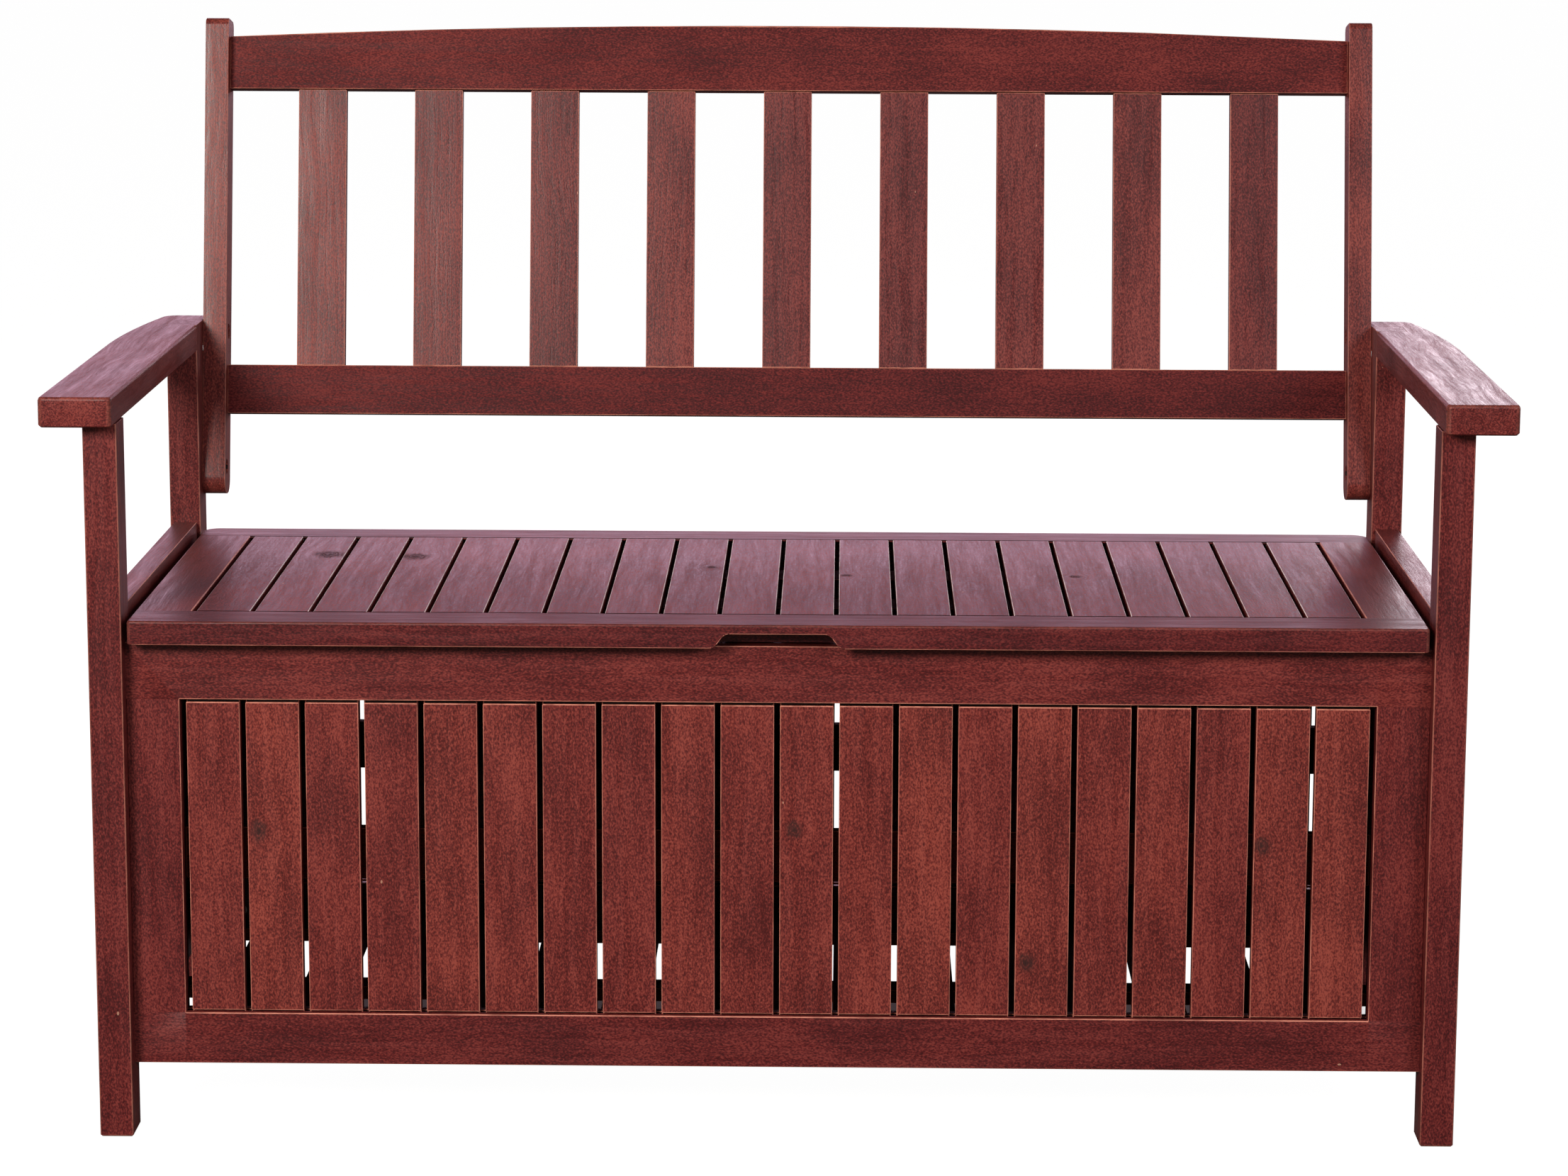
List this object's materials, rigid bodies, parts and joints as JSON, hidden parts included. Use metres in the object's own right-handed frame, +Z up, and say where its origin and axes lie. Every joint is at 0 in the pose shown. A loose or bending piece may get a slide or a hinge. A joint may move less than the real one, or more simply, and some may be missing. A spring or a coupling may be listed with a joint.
{
  "type": "garden storage bench",
  "caption": "Two-seat slatted wooden garden bench with a hinged seat lid over a storage chest, flat armrests and a leaning slatted back.",
  "frame": {"origin": "on the ground, under the middle of the bench's overall width and depth", "axes": "+X to the viewer's right along the seat, +Y towards the back, +Z up"},
  "size_m": [1.2, 0.6032, 0.9049],
  "materials": {
    "wood_stained": "red-brown stained and oiled acacia, satin, edges worn lighter",
    "wood_inner": "red-brown stained acacia, sawn and planed, duller than the outside",
    "hinge_steel": "zinc-plated steel, pressed and rolled",
    "screw_steel": "zinc-plated steel screws",
    "bolt_steel": "zinc-plated steel bolts and barrel nuts"
  },
  "bodies": {
    "frame": {"armrest_left": "wood_stained", "armrest_right": "wood_stained", "back_bolts": "bolt_steel", "back_crest_rail": "wood_stained", "back_lower_rail": "wood_stained", "back_slat_1": "wood_stained", "back_slat_2": "wood_stained", "back_slat_3": "wood_stained", "back_slat_4": "wood_stained", "back_slat_5": "wood_stained", "back_slat_6": "wood_stained", "back_slat_7": "wood_stained", "back_slat_8": "wood_stained", "back_slat_9": "wood_stained", "back_stile_left": "wood_stained", "back_stile_right": "wood_stained", "barrel_nuts": "bolt_steel", "floor_bearer": "wood_inner", "floor_ledger_front": "wood_inner", "floor_ledger_rear": "wood_inner", "floor_slats": "wood_inner", "front_batten": "wood_inner", "front_bottom_rail": "wood_stained", "front_slats": "wood_stained", "front_stile_left": "wood_stained", "front_stile_right": "wood_stained", "front_top_rail": "wood_stained", "hinge_frame_leaf_left": "hinge_steel", "hinge_frame_leaf_right": "hinge_steel", "hinge_frame_screws": "screw_steel", "hinge_pin_left": "hinge_steel", "hinge_pin_right": "hinge_steel", "leg_front_left": "wood_stained", "leg_front_right": "wood_stained", "leg_rear_left": "wood_stained", "leg_rear_right": "wood_stained", "panel_bolts": "bolt_steel", "rear_batten": "wood_inner", "rear_bottom_rail": "wood_stained", "rear_slats": "wood_stained", "rear_stile_left": "wood_stained", "rear_stile_right": "wood_stained", "rear_top_rail": "wood_stained", "side_bottom_rail_left": "wood_stained", "side_bottom_rail_right": "wood_stained", "side_slats_left": "wood_stained", "side_slats_right": "wood_stained", "side_top_rail_left": "wood_stained", "side_top_rail_right": "wood_stained"},
    "lid": {"lid_battens": "wood_inner", "lid_front_rail": "wood_stained", "lid_rear_rail": "wood_stained", "lid_slats": "wood_stained", "lid_stile_left": "wood_stained", "lid_stile_right": "wood_stained", "hinge_lid_leaf_left": "hinge_steel", "hinge_lid_leaf_right": "hinge_steel", "hinge_lid_screws": "screw_steel"}
  },
  "joints": [
    {"name": "lid_hinge", "type": "hinge", "parent": "frame", "child": "lid", "pos_m": [0, 0.17226, 0.4385], "axis": [-1, 0, 0], "range_deg": [0, 97]}
  ]
}
